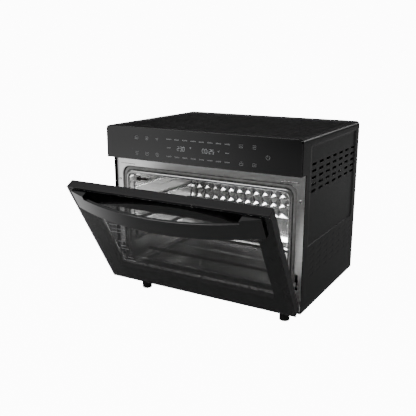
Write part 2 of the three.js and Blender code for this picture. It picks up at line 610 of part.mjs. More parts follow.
// Turn the door open about its pivot: its top comes forward.
const doorPlace = new THREE.Group();
door.position.set(0, -PIVOT.y, -PIVOT.z);
doorPlace.add(door);
doorPlace.rotation.x = DOOR_OPEN;
doorPlace.position.set(0, PIVOT.y, PIVOT.z);
oven.add(doorPlace);

// Stand the oven on its feet with the middle of its footprint at the origin.
oven.updateMatrixWorld(true);
const extent = new THREE.Box3().setFromObject(oven, true);
const middle = extent.getCenter(new THREE.Vector3());
oven.position.set(-middle.x, -middle.y, FOOT_HEIGHT);

export default oven;
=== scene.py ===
"""Looks for the countertop toaster oven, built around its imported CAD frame."""
import json
import math

import bmesh
import bpy
from mathutils import Matrix, Vector


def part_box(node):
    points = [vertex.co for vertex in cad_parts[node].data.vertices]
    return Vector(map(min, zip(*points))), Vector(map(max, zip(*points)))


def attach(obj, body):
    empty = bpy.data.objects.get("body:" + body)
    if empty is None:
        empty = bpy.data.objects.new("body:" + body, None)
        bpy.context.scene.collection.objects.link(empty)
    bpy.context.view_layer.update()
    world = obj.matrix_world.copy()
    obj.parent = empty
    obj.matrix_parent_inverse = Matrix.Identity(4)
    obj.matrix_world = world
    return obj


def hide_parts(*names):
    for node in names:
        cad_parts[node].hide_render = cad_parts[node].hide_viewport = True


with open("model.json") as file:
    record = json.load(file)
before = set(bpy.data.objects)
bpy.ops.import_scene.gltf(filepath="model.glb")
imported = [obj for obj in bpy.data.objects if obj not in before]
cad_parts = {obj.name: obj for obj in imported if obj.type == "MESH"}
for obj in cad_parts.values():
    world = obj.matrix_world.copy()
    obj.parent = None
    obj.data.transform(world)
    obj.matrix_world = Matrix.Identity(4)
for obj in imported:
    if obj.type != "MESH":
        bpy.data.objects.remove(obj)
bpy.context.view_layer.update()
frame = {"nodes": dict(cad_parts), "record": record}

# ---- the CAD's own layout, in millimetres: y = 0 on the panel's face, z = 0 under the cabinet --------
WIDTH, DEPTH, HEIGHT = 480, 366, 370
HALF = WIDTH / 2
PANEL_LOW = 296
STEP_BACK = 24.5
TOP_RADIUS = 9
FRAME_FACE = 31
MOUTH_HALF, MOUTH_LOW, MOUTH_HIGH, MOUTH_RADIUS = 202, 32, 255.5, 12
BEAD, GROOVE = 8, 9.5
CAVITY_BACK = 334
FAN_Y = 182
PIVOT = Vector((0, 8, 11))
OPEN = math.radians(30)
DOOR_HALF, DOOR_LOW, DOOR_HIGH, TRIM_LOW = 239, 5, 294.5, 289
WINDOW_HALF, WINDOW_LOW, WINDOW_HIGH = 199, 49, 252
DOOR_THICK, FRAME_BACK, SEAL_FACE = 22, 15, 29.5
SIDES = (("left", -1), ("right", 1))
SHEET = 1.2
ARM_X, ARM_LEAN, ARM_RATIO = 225, math.radians(-22), 0.43
ARM_PIN = Vector((0, 10, 77))
HEATER_Z, HEATERS = 50, (("front", 105), ("rear", 251))

MM = 0.001
to_row = (Matrix.Translation((0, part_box("panel_glass")[0].y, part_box("base_plate")[0].z))
          @ Matrix.Scale(MM, 4))
CABINET = to_row
DOOR = to_row @ Matrix.Translation(PIVOT) @ Matrix.Rotation(OPEN, 4, "X") @ Matrix.Translation(-PIVOT)

# how a flat outline (a, b) with thickness t lies in the layout
FACING = Matrix(((1, 0, 0, 0), (0, 0, 1, 0), (0, 1, 0, 0), (0, 0, 0, 1)))     # (x, z), thick along y
SIDEWAYS = Matrix(((0, 0, 1, 0), (1, 0, 0, 0), (0, 1, 0, 0), (0, 0, 0, 1)))   # (y, z), thick along x
FLAT = Matrix.Identity(4)                                                     # (x, y), thick along z


# ---- materials ---------------------------------------------------------------------------------------
def material(name, base, rough, metal=0.0, grain=(60, 60, 60), vary=0.25, rough_vary=0.08, bump=0.0,
             bump_grain=(900, 900, 900), bump_reach=0.0002, **sockets):
    """A Principled material whose colour and roughness vary with noise, with a fine surface bump."""
    m = bpy.data.materials.new(name)
    m.use_nodes = True
    nodes, links = m.node_tree.nodes, m.node_tree.links
    shader = nodes["Principled BSDF"]
    coords = nodes.new("ShaderNodeTexCoord")

    def noise(scale, detail):
        place = nodes.new("ShaderNodeMapping")
        place.inputs["Scale"].default_value = scale
        links.new(coords.outputs["Object"], place.inputs["Vector"])
        tex = nodes.new("ShaderNodeTexNoise")
        tex.inputs["Scale"].default_value = 1.0
        tex.inputs["Detail"].default_value = detail
        links.new(place.outputs["Vector"], tex.inputs["Vector"])
        return tex.outputs["Fac"]

    def spread(source, low, high, socket):
        span = nodes.new("ShaderNodeMapRange")
        span.inputs["From Min"].default_value = 0.3
        span.inputs["From Max"].default_value = 0.7
        span.inputs["To Min"].default_value = low
        span.inputs["To Max"].default_value = high
        links.new(source, span.inputs["Value"])
        links.new(span.outputs["Result"], socket)

    clouds = noise(grain, 4.0)
    tint = nodes.new("ShaderNodeMix")
    tint.data_type = "RGBA"
    tint.inputs[6].default_value = (*[c * (1 - vary) for c in base], 1)
    tint.inputs[7].default_value = (*[min(1, c * (1 + vary)) for c in base], 1)
    spread(clouds, 0, 1, tint.inputs[0])
    links.new(tint.outputs[2], shader.inputs["Base Color"])
    spread(clouds, max(0.02, rough - rough_vary), min(1, rough + rough_vary), shader.inputs["Roughness"])
    shader.inputs["Metallic"].default_value = metal
    for socket, value in sockets.items():
        shader.inputs[socket.replace("_", " ")].default_value = value
    if bump:
        relief = nodes.new("ShaderNodeBump")
        relief.inputs["Strength"].default_value = bump
        relief.inputs["Distance"].default_value = bump_reach
        links.new(noise(bump_grain, 2.0), relief.inputs["Height"])
        links.new(relief.outputs["Normal"], shader.inputs["Normal"])
    return m


LOOKS = {
    "black_paint": material("matt_enamel", (0.0024, 0.0024, 0.0026), 0.34, grain=(300, 300, 300), vary=0.15,
                            rough_vary=0.03, bump=0.12, bump_grain=(1800, 1800, 1800),
                            bump_reach=0.0001, Specular_IOR_Level=0.27),
    "panel_gloss": material("black_touch_glass", (0.0025, 0.0025, 0.0028), 0.035, rough_vary=0.012,
                            grain=(9, 9, 9), Specular_IOR_Level=0.5),
    "satin_black": material("satin_moulding", (0.0095, 0.0095, 0.01), 0.34, bump=0.2,
                            bump_grain=(2200, 2200, 2200), bump_reach=0.0001, Specular_IOR_Level=0.4),
    "gloss_black": material("gloss_moulding", (0.005, 0.005, 0.0055), 0.16, rough_vary=0.03,
                            grain=(20, 20, 20), Specular_IOR_Level=0.6),
    "steel_across": material("brushed_steel_across", (0.86, 0.86, 0.855), 0.34, 1.0, grain=(3, 900, 900),
                             vary=0.06, rough_vary=0.05, bump=0.06, bump_grain=(6, 1500, 1500)),
    "stud_steel": material("pressed_mirror_steel", (0.7, 0.7, 0.695), 0.2, 1.0, grain=(30, 30, 30),
                           vary=0.04, rough_vary=0.02),
    "steel_deep": material("brushed_steel_deep", (0.5, 0.5, 0.495), 0.32, 1.0, grain=(700, 3, 700),
                           vary=0.12, rough_vary=0.08, bump=0.12, bump_grain=(1200, 5, 1200),
                           Anisotropic=0.5),
    "brushed_steel": material("satin_steel", (0.55, 0.55, 0.545), 0.3, 1.0, grain=(140, 140, 700),
                              vary=0.12, rough_vary=0.08, bump=0.1),
    "bright_steel": material("plated_steel", (0.66, 0.66, 0.655), 0.17, 1.0, grain=(160, 160, 160),
                             vary=0.08, rough_vary=0.05),
    "seal_grey": material("grey_silicone", (0.3, 0.3, 0.297), 0.36, bump=0.2, bump_grain=(900, 900, 900)),
    "seal_rubber": material("black_silicone", (0.012, 0.012, 0.012), 0.62, bump=0.3,
                            bump_grain=(1600, 1600, 1600), Specular_IOR_Level=0.3),
    "heater_sheath": material("oxidised_sheath", (0.045, 0.043, 0.041), 0.42, 0.8, grain=(90, 300, 300),
                              vary=0.45, rough_vary=0.12, bump=0.25, bump_grain=(700, 700, 700)),
    "clear_glass": material("tinted_glass", (0.004, 0.004, 0.0045), 0.03, rough_vary=0.01,
                            grain=(8, 8, 8), Alpha=0.56, IOR=1.6),
    "clear_pane": material("clear_pane", (0.02, 0.021, 0.022), 0.03, rough_vary=0.01, grain=(8, 8, 8),
                           Alpha=0.14, IOR=1.6),
    "lamp_glass": material("lamp_glass", (0.75, 0.74, 0.7), 0.15, rough_vary=0.04, Alpha=0.6),
    "ceramic": material("ceramic", (0.72, 0.69, 0.62), 0.6, bump=0.2, vary=0.06),
    "circuit_board": material("circuit_board", (0.012, 0.085, 0.035), 0.35, grain=(500, 500, 500), vary=0.5),
    "aluminium": material("pressed_aluminium", (0.5, 0.5, 0.51), 0.36, 1.0, grain=(200, 200, 200),
                          vary=0.1, bump=0.1),
    "legend": material("white_legend", (0.55, 0.56, 0.57), 0.4, grain=(300, 300, 300), vary=0.15),
    "legend_lit": material("lit_digits", (0.8, 0.82, 0.84), 0.4, grain=(300, 300, 300), vary=0.08,
                           Emission_Color=(0.9, 0.95, 1, 1), Emission_Strength=0.1),
}


# ---- mesh helpers ------------------------------------------------------------------------------------
def add(name, meshes, look, replaces=(), body="cabinet", place=CABINET, crease=32):
    """Joins meshes drawn in millimetres into one piece that rides on a body."""
    bm = bmesh.new()
    for mesh in meshes:
        bm.from_mesh(mesh)
        bpy.data.meshes.remove(mesh)
    bmesh.ops.remove_doubles(bm, verts=bm.verts, dist=1e-4)
    bmesh.ops.transform(bm, matrix=place, verts=bm.verts)
    bmesh.ops.recalc_face_normals(bm, faces=bm.faces)
    mesh = bpy.data.meshes.new(name)
    bm.to_mesh(mesh)
    bm.free()
    mesh.shade_smooth()
    mesh.set_sharp_from_angle(angle=math.radians(crease))
    piece = bpy.data.objects.new(name, mesh)
    bpy.context.scene.collection.objects.link(piece)
    mesh.materials.append(LOOKS[look])
    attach(piece, body)
    flats = piece.modifiers.new("flats", "WEIGHTED_NORMAL")
    flats.weight = 100
    flats.keep_sharp = True
    if replaces:
        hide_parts(*([replaces] if isinstance(replaces, str) else replaces))
    return piece


def mesh_of(verts, faces):
    mesh = bpy.data.meshes.new("part")
    mesh.from_pydata([tuple(v) for v in verts], [], faces)
    return mesh


def moved(mesh, matrix):
    mesh.transform(matrix)
    return mesh


def plate(loops, t0, t1, lie, edge=0.4, steps=2):
    """A flat sheet with holes and rounded edges: loops[0] is the outline, the others are holes."""
    curve = bpy.data.curves.new("plate", "CURVE")
    curve.dimensions = "2D"
    curve.fill_mode = "BOTH"
    for loop in loops:
        spline = curve.splines.new("POLY")
        spline.points.add(len(loop) - 1)
        for point, (a, b) in zip(spline.points, loop):
            point.co = (a, b, 0, 1)
        spline.use_cyclic_u = True
    curve.extrude = (t1 - t0) / 2 - edge
    curve.bevel_depth = edge
    curve.bevel_resolution = steps
    curve.offset = -edge
    holder = bpy.data.objects.new("plate", curve)
    mesh = bpy.data.meshes.new_from_object(holder)
    bpy.data.objects.remove(holder)
    bpy.data.curves.remove(curve)
    mesh.materials.clear()
    return moved(mesh, lie @ Matrix.Translation((0, 0, (t0 + t1) / 2)))


def tube(points, radius, sides=8, flatten=None):
    """A round rod along points; flatten scales it, such as for printed strokes."""
    curve = bpy.data.curves.new("tube", "CURVE")
    curve.dimensions = "3D"
    spline = curve.splines.new("POLY")
    spline.points.add(len(points) - 1)
    for point, co in zip(spline.points, points):
        point.co = (*co, 1)
    curve.bevel_depth = radius
    curve.bevel_resolution = max(1, sides // 4 - 1)
    curve.use_fill_caps = True
    holder = bpy.data.objects.new("tube", curve)
    mesh = bpy.data.meshes.new_from_object(holder)
    bpy.data.objects.remove(holder)
    bpy.data.curves.remove(curve)
    mesh.materials.clear()
    return moved(mesh, flatten) if flatten else mesh


def block(lo, hi, edge=0.5, steps=2):
    """A block with rounded edges."""
    bm = bmesh.new()
    bmesh.ops.create_cube(bm, size=1)
    size = [b - a for a, b in zip(lo, hi)]
    middle = [(a + b) / 2 for a, b in zip(lo, hi)]
    bmesh.ops.scale(bm, vec=size, verts=bm.verts)
    bmesh.ops.translate(bm, vec=middle, verts=bm.verts)
    bmesh.ops.bevel(bm, geom=bm.edges[:], offset=edge, segments=steps, profile=0.5, affect="EDGES")
    mesh = bpy.data.meshes.new("block")
    bm.to_mesh(mesh)
    bm.free()
    return mesh


def lathe(profile, at, axis="Z", sides=40):
    """Turns (radius, height) points about an axis through `at`; ends on the axis are closed."""
    verts, faces, rings = [], [], []
    for radius, height in profile:
        if radius < 1e-6:
            rings.append([len(verts)])
            verts.append((0, 0, height))
            continue
        rings.append([len(verts) + i for i in range(sides)])
        for i in range(sides):
            turn = 2 * math.pi * i / sides
            verts.append((radius * math.cos(turn), radius * math.sin(turn), height))
    for low, high in zip(rings, rings[1:]):
        for i in range(sides):
            j = (i + 1) % sides
            ring = [low[i % len(low)], low[j % len(low)], high[j % len(high)], high[i % len(high)]]
            faces.append(list(dict.fromkeys(ring)))
    turn = {"Z": Matrix.Identity(4), "X": Matrix.Rotation(math.pi / 2, 4, "Y"),
            "Y": Matrix.Rotation(-math.pi / 2, 4, "X")}[axis]
    return moved(mesh_of(verts, faces), Matrix.Translation(at) @ turn)


def rounded(a, b, radius, steps=6):
    """A rectangle with rounded corners, from a = (low, high) and b = (low, high)."""
    corners = ((a[1] - radius, b[0] + radius, -90), (a[1] - radius, b[1] - radius, 0),
               (a[0] + radius, b[1] - radius, 90), (a[0] + radius, b[0] + radius, 180))
    points = []
    for ca, cb, start in corners:
        for i in range(steps + 1):
            turn = math.radians(start + 90 * i / steps)
            points.append((ca + radius * math.cos(turn), cb + radius * math.sin(turn)))
    return points


def circle(a, b, radius, sides=24):
    """Points round a circle about (a, b)."""
    return [(a + radius * math.cos(2 * math.pi * i / sides), b + radius * math.sin(2 * math.pi * i / sides))
            for i in range(sides)]


def mouth(grow, steps=8):
    """The cavity's mouth, grown on every side."""
    return rounded((-MOUTH_HALF - grow, MOUTH_HALF + grow), (MOUTH_LOW - grow, MOUTH_HIGH + grow),
                   MOUTH_RADIUS + grow * 0.45, steps)


def sweep(section, loop_of=mouth, closed=True):
    """Carries a cross-section of (grow, y) points round the mouth, or round another loop."""
    verts, faces = [], []
    for grow, y in section:
        loop = loop_of(grow)
        verts += [(a, y, b) for a, b in loop]
    count = len(loop)
    spans = len(section) if closed else len(section) - 1
    for k in range(spans):
        p, q = k * count, ((k + 1) % len(section)) * count
        faces += [(p + i, p + (i + 1) % count, q + (i + 1) % count, q + i) for i in range(count)]
    return mesh_of(verts, faces)


def arc(ca, cb, radius, start, end, steps=6):
    """Points on an arc about (ca, cb), from start to end in degrees."""
    turns = [math.radians(start + (end - start) * i / steps) for i in range(steps + 1)]
    return [(ca + radius * math.cos(t), cb + radius * math.sin(t)) for t in turns]


def carve(piece, cutters):
    """Cuts holes through a piece; the cutters are meshes in the layout's millimetres."""
    bm = bmesh.new()
    for mesh in cutters:
        bm.from_mesh(mesh)
    bmesh.ops.transform(bm, matrix=CABINET, verts=bm.verts)
    mesh = bpy.data.meshes.new("cutters")
    bm.to_mesh(mesh)
    bm.free()
    tool = bpy.data.objects.new("cutters", mesh)
    bpy.context.scene.collection.objects.link(tool)
    modifier = piece.modifiers.new("cut", "BOOLEAN")
    modifier.solver = "EXACT"
    modifier.object = tool
    done = bpy.data.meshes.new_from_object(piece.evaluated_get(bpy.context.evaluated_depsgraph_get()))
    piece.modifiers.clear()
    piece.data = done
    bpy.data.objects.remove(tool)


def across(side, near, far):
    """A stretch of x from near to far on one side, lower end first."""
    return (-far, -near) if side < 0 else (near, far)


def screw_head(at, axis="Y", radius=3.2, sign=-1):
    """A domed screw head, without a recess, seen from `sign` along the axis."""
    dome = [(0, sign * 1.5), (radius * 0.55, sign * 1.4), (radius * 0.9, sign * 0.9), (radius, sign * 0.3),
            (radius, -sign * 0.8), (0, -sign * 0.8)]
    return lathe(dome, at, axis, 20)


def plug(radius, low, high, at, axis, sides):
    """A cylinder between two heights on its axis, for cutting a round hole."""
    return lathe([(0, low), (radius, low), (radius, high), (0, high)], at, axis, sides)


def thicken(piece, thickness, offset):
    """Gives a surface a sheet's thickness, behind its faces (-1) or in front of them (1)."""
    sheet = piece.modifiers.new("sheet", "SOLIDIFY")
    sheet.thickness = thickness * MM
    sheet.offset = offset


# ---- cabinet: one folded sheet with slots, dimples, a pressed field and roof ribs ---------------------
VENT_Y, VENT_Z, PITCH_Y, PITCH_Z = 74.5, 311.5, 41.8, 14
VENT_COLUMNS, VENT_ROWS, DIMPLE_TOP, DIMPLE_ROWS = 7, 5, 129.5, 5
SLOT_HALF, SLOT_RISE = 12, 2.5
# rings round an opening: how far each is outside its edge, and how far it is pressed in
SLOT_RINGS = ((1.1, 0.0), (0.35, -0.12), (0, -0.5))
DIMPLE_RINGS = ((1.4, 0), (0.3, -0.12), (-1.1, -0.5))
# grid lines across the cell round a slot, as fractions of the cell
CELL_Y = (0, 0.17, 0.27, 0.5, 0.73, 0.83, 1)
CELL_Z = (0, 0.25, 0.5, 0.75, 1)
FIELD_FRONT, FIELD_BACK, FIELD_LOW, FIELD_HIGH = 50, 339, 140, 352
FIELD_CORNER, FIELD_DEPTH, FIELD_SLOPE = 14, 2.2, 3.2
ROOF_HALF, ROOF_FRONT, ROOF_BACK, ROOF_DEPTH = 224, 14, 349, 2.0
RIBS = (-162, -118, -78, -24, 50, 107, 150, 182, 207)
RIB_FRONT, RIB_BACK, RIB_FADE, RIB_WIDTH, RIB_RISE = 24, 340, 10, 3.0, 0.8


def smooth(t):
    t = max(0.0, min(1.0, t))
    return t * t * (3 - 2 * t)


def side_relief(y, z):
    """How far the sheet stands out at this place on a side; it is pressed in over the field."""
    from_back = FIELD_BACK - y
    from_low = z - FIELD_LOW
    if from_back < FIELD_CORNER and from_low < FIELD_CORNER:
        reach = FIELD_CORNER - math.hypot(FIELD_CORNER - from_back, FIELD_CORNER - from_low)
    else:
        reach = min(from_back, from_low)
    reach = min(reach, y - FIELD_FRONT, FIELD_HIGH - z)
    return -FIELD_DEPTH * smooth(reach / FIELD_SLOPE)


def roof_relief(x, y):
    """How far the sheet stands out at this place on the roof: raised ribs in a sunken field."""
    fade = smooth((y - RIB_FRONT) / RIB_FADE) * smooth((RIB_BACK - y) / RIB_FADE)
    ribs = sum(math.exp(-((x - rib) / RIB_WIDTH) ** 2) for rib in RIBS)
    field = smooth((ROOF_HALF - abs(x)) / 4) * smooth((y - ROOF_FRONT) / 6) * smooth((ROOF_BACK - y) / 5)
    return RIB_RISE * ribs * fade - ROOF_DEPTH * field


def sheet_lines():
    """Grid lines of the sheet along y, z and x, close together where it bends."""
    ys = [2.8, 8, 14, 17, 20, STEP_BACK, 28, 31, 34, 40, 46, 50, 52, 347, 349, 352, 358, 363, DEPTH]
    ys += [VENT_Y + (column - 0.5 + part) * PITCH_Y
           for column in range(VENT_COLUMNS) for part in CELL_Y[:-1]]
    ys.append(VENT_Y + (VENT_COLUMNS - 0.5) * PITCH_Y)
    zs = [0, 15, 30, 45, 58, 138.2, 140, 141, 142.2, 143.4, 145, 147.5, 150, 153, 160, 175, 190, 205,
          220, 234, PANEL_LOW, 330, 345, 348, 349.5, 351, 353, HEIGHT - TOP_RADIUS]
    for highest, rows in ((VENT_Z, VENT_ROWS), (DIMPLE_TOP, DIMPLE_ROWS)):
        foot = highest - (rows - 0.5) * PITCH_Z
        zs += [foot + (row + part) * PITCH_Z for row in range(rows) for part in CELL_Z[:-1]]
        zs.append(highest + 0.5 * PITCH_Z)
    xs = [side * x for _, side in SIDES for x in (231, 228, 226, 224, 222, 220)]
    xs += [rib + step for rib in RIBS for step in (-6, -3.5, -1.7, 0, 1.7, 3.5, 6)]
    xs.append(0)
    return [sorted({round(value, 3) for value in values}) for values in (ys, zs, xs)]


def wrap_point(track, y, push=0.0):
    """A place on the wrap: track is ('side', sign, z), ('roll', sign, turn) or ('roof', x)."""
    kind = track[0]
    if kind == "side":
        _, sign, z = track
        return sign * (HALF + side_relief(y, z) + push), y, z
    if kind == "roll":
        _, sign, turn = track
        r = TOP_RADIUS
        return sign * (HALF - r + r * math.cos(turn)), y, HEIGHT - r + r * math.sin(turn)
    return track[1], y, HEIGHT + roof_relief(track[1], y) + push


def wrap_tracks(zs, xs):
    """The sheet's lines, up the right side, over the roof and down the left side."""
    turns = [math.pi / 2 * i / 6 for i in range(1, 6)]
    tracks = [("side", 1, z) for z in zs]
    tracks += [("roll", 1, turn) for turn in turns]
    tracks += [("roof", x) for x in reversed(xs)]
    tracks += [("roll", -1, turn) for turn in reversed(turns)]
    tracks += [("side", -1, z) for z in reversed(zs)]
    return tracks


def slot_ring(y, z, grow):
    """Twenty points round a slot with rounded ends, in the order of a cell's border."""
    rise = SLOT_RISE + grow
    run = SLOT_HALF + grow - rise
    return [*arc(y - run, z, rise, 225, 270, 2), (y, z - rise), *arc(y + run, z, rise, 270, 450, 8),
            (y, z + rise), *arc(y - run, z, rise, 90, 202.5, 5)]


def slot_cells(ys, zs):
    """Slots and dimples of a side: middle (y, z), the numbers of the grid lines across it, and rings."""
    cells = []
    for highest, rows, rings in ((VENT_Z, VENT_ROWS, SLOT_RINGS), (DIMPLE_TOP, DIMPLE_ROWS, DIMPLE_RINGS)):
        foot = highest - (rows - 0.5) * PITCH_Z
        for row in range(rows):
            across_z = [foot + (rows - 1 - row + part) * PITCH_Z for part in CELL_Z]
            lines_z = [zs.index(round(z, 3)) for z in across_z]
            for column in range(VENT_COLUMNS):
                across_y = [VENT_Y + (column - 0.5 + part) * PITCH_Y for part in CELL_Y]
                lines_y = [ys.index(round(y, 3)) for y in across_y]
                middle = (VENT_Y + column * PITCH_Y, highest - row * PITCH_Z)
                cells.append((middle, lines_y, lines_z, rings))
    return cells


def press_slot(bm, grid, sign, cell):
    """Joins a slot's rings to the border of its cell in grid[z line][y line]; a dimple is closed."""
    (y, z), lines_y, lines_z, rings = cell
    border = [grid[lines_z[0]][i] for i in lines_y]
    border += [grid[i][lines_y[-1]] for i in lines_z[1:]]
    border += [grid[lines_z[-1]][i] for i in reversed(lines_y[:-1])]
    border += [grid[i][lines_y[0]] for i in reversed(lines_z[1:-1])]
    for grow, push in rings:
        inner = [bm.verts.new(wrap_point(("side", sign, b), a, push)) for a, b in slot_ring(y, z, grow)]
        for i in range(len(inner)):
            j = (i + 1) % len(inner)
            bm.faces.new((border[i], border[j], inner[j], inner[i]))
        border = inner
    if rings is DIMPLE_RINGS:
        bm.faces.new(border)


def wrap_sheet():
    """The folded sheet's outer surface: its top and sides, open below the panel and at the ends."""
    ys, zs, xs = sheet_lines()
    tracks = wrap_tracks(zs, xs)
    cells = slot_cells(ys, zs)
    bm = bmesh.new()
    grid = [[bm.verts.new(wrap_point(track, y)) for y in ys] for track in tracks]
    taken = set()
    for sign, upward in ((1, grid), (-1, grid[::-1])):
        for cell in cells:
            press_slot(bm, upward, sign, cell)
            _, lines_y, lines_z, _ = cell
            for z_line in range(lines_z[0], lines_z[-1]):
                strip = z_line if sign > 0 else len(tracks) - 2 - z_line
                taken |= {(strip, y_line) for y_line in range(lines_y[0], lines_y[-1])}
    for k, (track, after) in enumerate(zip(tracks, tracks[1:])):
        below_panel = track[0] == after[0] == "side" and max(track[2], after[2]) <= PANEL_LOW
        for i, y in enumerate(ys[:-1]):
            if (k, i) in taken or (below_panel and y < STEP_BACK - 0.1):
                continue
            bm.faces.new((grid[k][i], grid[k][i + 1], grid[k + 1][i + 1], grid[k + 1][i]))
    bmesh.ops.delete(bm, geom=[v for v in bm.verts if not v.link_faces], context="VERTS")
    mesh = bpy.data.meshes.new("wrap")
    bm.to_mesh(mesh)
    bm.free()
    return mesh


def hood(inset, low):
    """The cabinet's outline from the front, moved in by inset: square below and rounded above."""
    r = TOP_RADIUS - inset
    x, high = HALF - inset, HEIGHT - inset
    return [(-x, low), (x, low), *arc(x - r, high - r, r, 0, 90, 8), *arc(-x + r, high - r, r, 90, 180, 8)]


wrap = add("cabinet_shell", [wrap_sheet()], "black_paint", "cabinet_wrap", crease=40)
thicken(wrap, 0.9, -1)
first_face = wrap.data.polygons[0]
if first_face.normal.x * first_face.center.x < 0:
    wrap.data.flip_normals()

BACK_FACE = DEPTH - 1.3
BACK_VENT_HALF, BACK_VENT_RISE = 16, 2
GLAND_X, GLAND_Z = 170, 60
back_vents = []
for x in (-96, -48, 0, 48, 96):
    for z in (278, 292, 306, 320):
        back_vents.append(rounded((x - BACK_VENT_HALF, x + BACK_VENT_HALF),
                                  (z - BACK_VENT_RISE, z + BACK_VENT_RISE), 1.9, 4))
inlet = circle(GLAND_X, GLAND_Z, 10.6, 32)
add("back_sheet", [plate([hood(1.3, 0.3), *back_vents, inlet], BACK_FACE - SHEET, BACK_FACE, FACING, 0.3)],
    "black_paint", "back_cover")
add("back_screws", [screw_head((x, DEPTH - 1.2, z), sign=1) for x in (-226, 226) for z in (18, 185, 350)],
    "bright_steel")
gland = [(0, DEPTH - 4), (9.8, DEPTH - 4), (9.8, DEPTH - 1), (14, DEPTH - 1), (14, DEPTH + 1.6),
         (13, DEPTH + 2.8), (7, DEPTH + 3), (6, DEPTH + 1), (0, DEPTH + 1)]
add("cord_bush", [lathe(gland, (GLAND_X, 0, GLAND_Z), "Y")], "satin_black", "cord_gland")

FOOT = 24.5
foot_shape = [(0, -FOOT), (9.2, -FOOT), (10.6, 0.3 - FOOT), (11.4, 1.3 - FOOT), (11.5, 2.5 - FOOT),
              (11.5, -6), (11, -5), (11, -3.4), (11.5, -2.8), (11.5, -0.8), (11.2, -0.3), (3, -0.3),
              (3, 4.6), (2.4, 5), (0, 5)]
for end, y in (("front", 36), ("rear", 336)):
    for side, x in (("left", -162), ("right", 200)):
        add(f"foot_{end}_{side}_pad", [lathe(foot_shape, (x, y, 0))], "seal_rubber", f"foot_{end}_{side}")

# ---- front frame, seal and cavity --------------------------------------------------------------------
EDGE = BEAD + GROOVE
FLANGE_HALF, FLANGE_LOW, FLANGE_HIGH = 238.7, 1.3, 304
EAR_RADIUS = 4.4


def behind_face(section):
    """Turns (grow, distance behind the front frame's face) into the layout's (grow, y)."""
    return [(grow, FRAME_FACE + distance) for grow, distance in section]


def front_flange():
    """The steel frame: a flat plate, the lip that turns into the seal's groove, and the hinge ears."""
    outline = rounded((-FLANGE_HALF, FLANGE_HALF), (FLANGE_LOW, FLANGE_HIGH), 2, 3)
    slots = [rounded((side * ARM_X - 3.5, side * ARM_X + 3.5), (50, 84), 1.5, 4) for _, side in SIDES]
    parts = [plate([outline, mouth(EDGE + 1.6), *slots], FRAME_FACE, FRAME_FACE + SHEET, FACING, 0.25)]
    lip = [(EDGE + 2.2, 0), (EDGE + 1.1, 0.15), (EDGE + 0.3, 0.7), (EDGE, 1.6), (EDGE, 10), (EDGE + 1, 10),
           (EDGE + 1, 2), (EDGE + 2.2, 1.2)]
    parts.append(sweep(behind_face(lip)))
    for _, side in SIDES:
        x0, x1 = across(side, 230, 233)
        ear = [(FRAME_FACE + 1, PIVOT.z - EAR_RADIUS), (FRAME_FACE + 1, PIVOT.z + EAR_RADIUS),
               *arc(PIVOT.y, PIVOT.z, EAR_RADIUS, 90, 270, 12)]
        parts.append(plate([ear, circle(PIVOT.y, PIVOT.z, 2.3, 16)], x0, x1, SIDEWAYS, 0.3))
    return parts


add("front_flange", front_flange(), "steel_across", "front_frame")
add("flange_embossed_bars", [block((x, FRAME_FACE - 0.9, 276.6), (x + 39, FRAME_FACE + 0.4, 279), 0.6)
                             for x in (-224, 185)], "bright_steel")
add("flange_screws", [screw_head((x, FRAME_FACE, 240)) for x in (-228.5, 228.5)], "bright_steel")

bead = arc(BEAD / 2, FRAME_FACE + 2.6, BEAD / 2, 0, -180, 12)
liner = sweep([(BEAD, FRAME_FACE + 9.5), *bead, (0, FRAME_FACE + 6), (0, 90), (0, 150), (0, 210), (0, 270),
               (0, CAVITY_BACK - 4), (0, CAVITY_BACK), (1, CAVITY_BACK), (1, FRAME_FACE + 8),
               (BEAD - 1, FRAME_FACE + 8), (BEAD - 1, FRAME_FACE + 9.5)])
cavity = add("cavity_shell", [liner], "steel_deep", "cavity_liner")
FAN_HOLE, HEATER_HOLE, LAMP_HOLE, PROBE_HOLE = 104, 5.2, 13, 3.3
holes = [plug(FAN_HOLE, 0, 20, (0, FAN_Y, MOUTH_HIGH - 8), "Z", 48)]
holes += [plug(HEATER_HOLE, -HALF, HALF, (0, y, HEATER_Z), "X", 20) for _, y in HEATERS]
holes.append(plug(LAMP_HOLE, 0, 20, (MOUTH_HALF - 10, 270, 202.5), "X", 24))
holes.append(plug(PROBE_HOLE, 0, 20, (-MOUTH_HALF - 10, 66, 236), "X", 16))
carve(cavity, holes)
groove = [(BEAD - 0.4, 8.9), (EDGE - 0.3, 8.9), (EDGE - 0.3, 10), (BEAD - 0.4, 10)]
add("groove_floor", [sweep(behind_face(groove))], "brushed_steel")
seal = [(BEAD + 0.6, 8.6), (BEAD + 0.6, 5.5), (BEAD + 1.6, 3.2), (BEAD + 3.6, 2.3), (BEAD + 5.8, 2.5),
        (BEAD + 7.8, 4), (EDGE - 0.6, 6.5), (EDGE - 0.6, 8.6)]
add("mouth_seal", [sweep(behind_face(seal))], "seal_grey", "cavity_gasket")

STUD, STUD_LOW, STUD_ROWS, STUD_COLUMNS, STUD_HEIGHT = 25.2, 110, 5, 16, 9
WALL_HALF, WALL_LOW, WALL_STEP, WALL_HIGH = 211, 23, 60, 264


